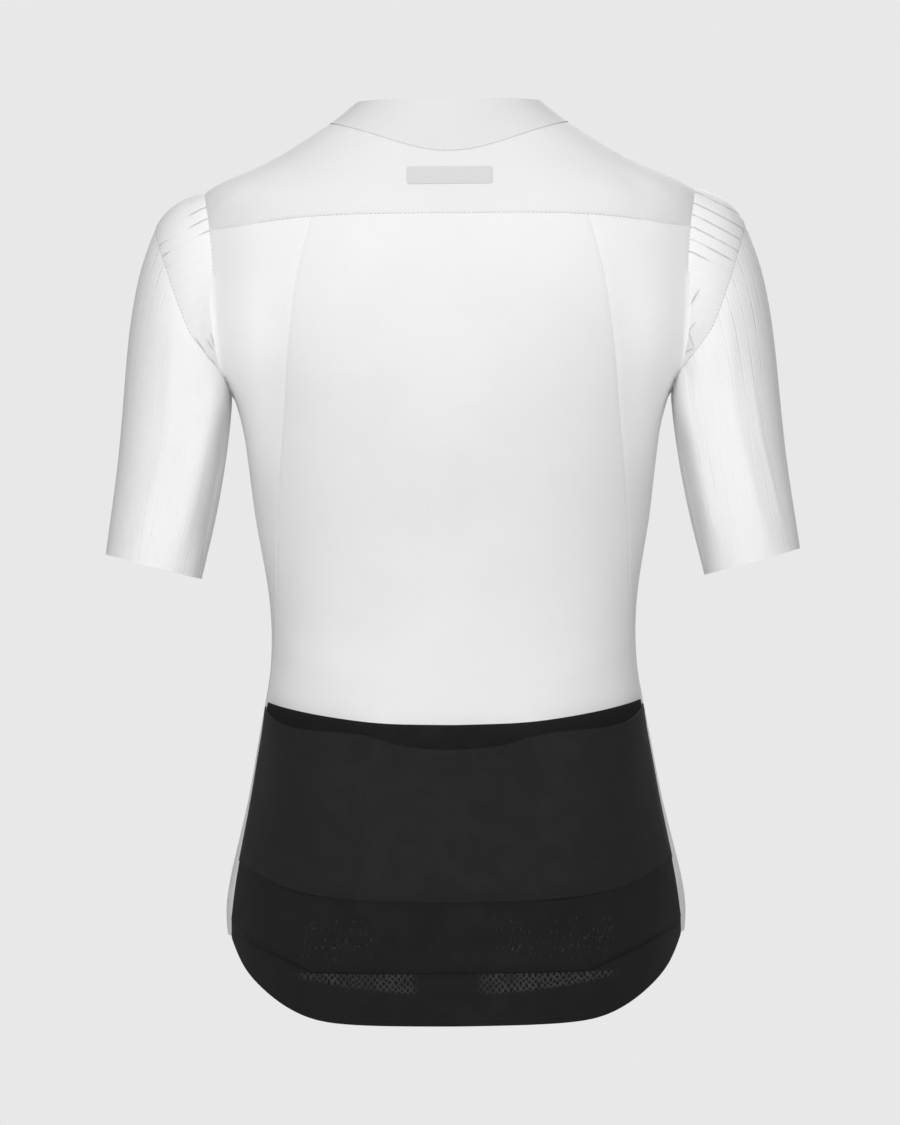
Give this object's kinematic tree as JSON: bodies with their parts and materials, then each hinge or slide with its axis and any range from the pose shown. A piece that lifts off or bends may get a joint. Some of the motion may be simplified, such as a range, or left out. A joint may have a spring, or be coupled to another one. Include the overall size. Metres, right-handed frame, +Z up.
{
  "type": "cycling jersey",
  "caption": "Short-sleeved cycling jersey, white with a black lower back and rear pockets, ribbed sleeves and a full front zip, hollow and filled out as worn",
  "frame": {"origin": "midway between the two high shoulder points at the base of the neck, inside the open neck, where the wearer's shoulders carry the cloth", "axes": "+Z up, +Y out of the wearer's back, +X to the wearer's left"},
  "size_m": [0.514, 0.254, 0.6753],
  "materials": {
    "white_knit": "matte white jersey knit",
    "ribbed_knit": "white knit with fine lengthwise ribs",
    "black_knit": "matte black knit",
    "dark_mesh": "matte black knit, partly perforated",
    "grey_transfer": "thin light grey heat transfer",
    "zip_plastic": "white moulded coil",
    "zip_tape": "white woven tape",
    "zip_metal": "light grey enamelled metal"
  },
  "bodies": {
    "jersey": {"yoke": "white_knit", "back_centre": "white_knit", "side_panel_left": "white_knit", "side_panel_right": "white_knit", "front_left": "white_knit", "front_right": "white_knit", "collar": "white_knit", "shoulder_insert_left": "ribbed_knit", "shoulder_insert_right": "ribbed_knit", "sleeve_left": "ribbed_knit", "sleeve_right": "ribbed_knit", "lower_back": "dark_mesh", "tail_band": "dark_mesh", "pocket_panel": "black_knit", "neck_label": "grey_transfer", "zip_chain": "zip_plastic", "zip_tape_left": "zip_tape", "zip_tape_right": "zip_tape", "zip_slider": "zip_metal"},
    "pull_tab": {"zip_pull": "zip_metal"}
  },
  "joints": [
    {"name": "pull_tab_swing", "type": "hinge", "parent": "jersey", "child": "pull_tab", "pos_m": [0, -0.0726, -0.05726], "axis": [-1, 0, 0], "range_deg": [0, 110]}
  ]
}
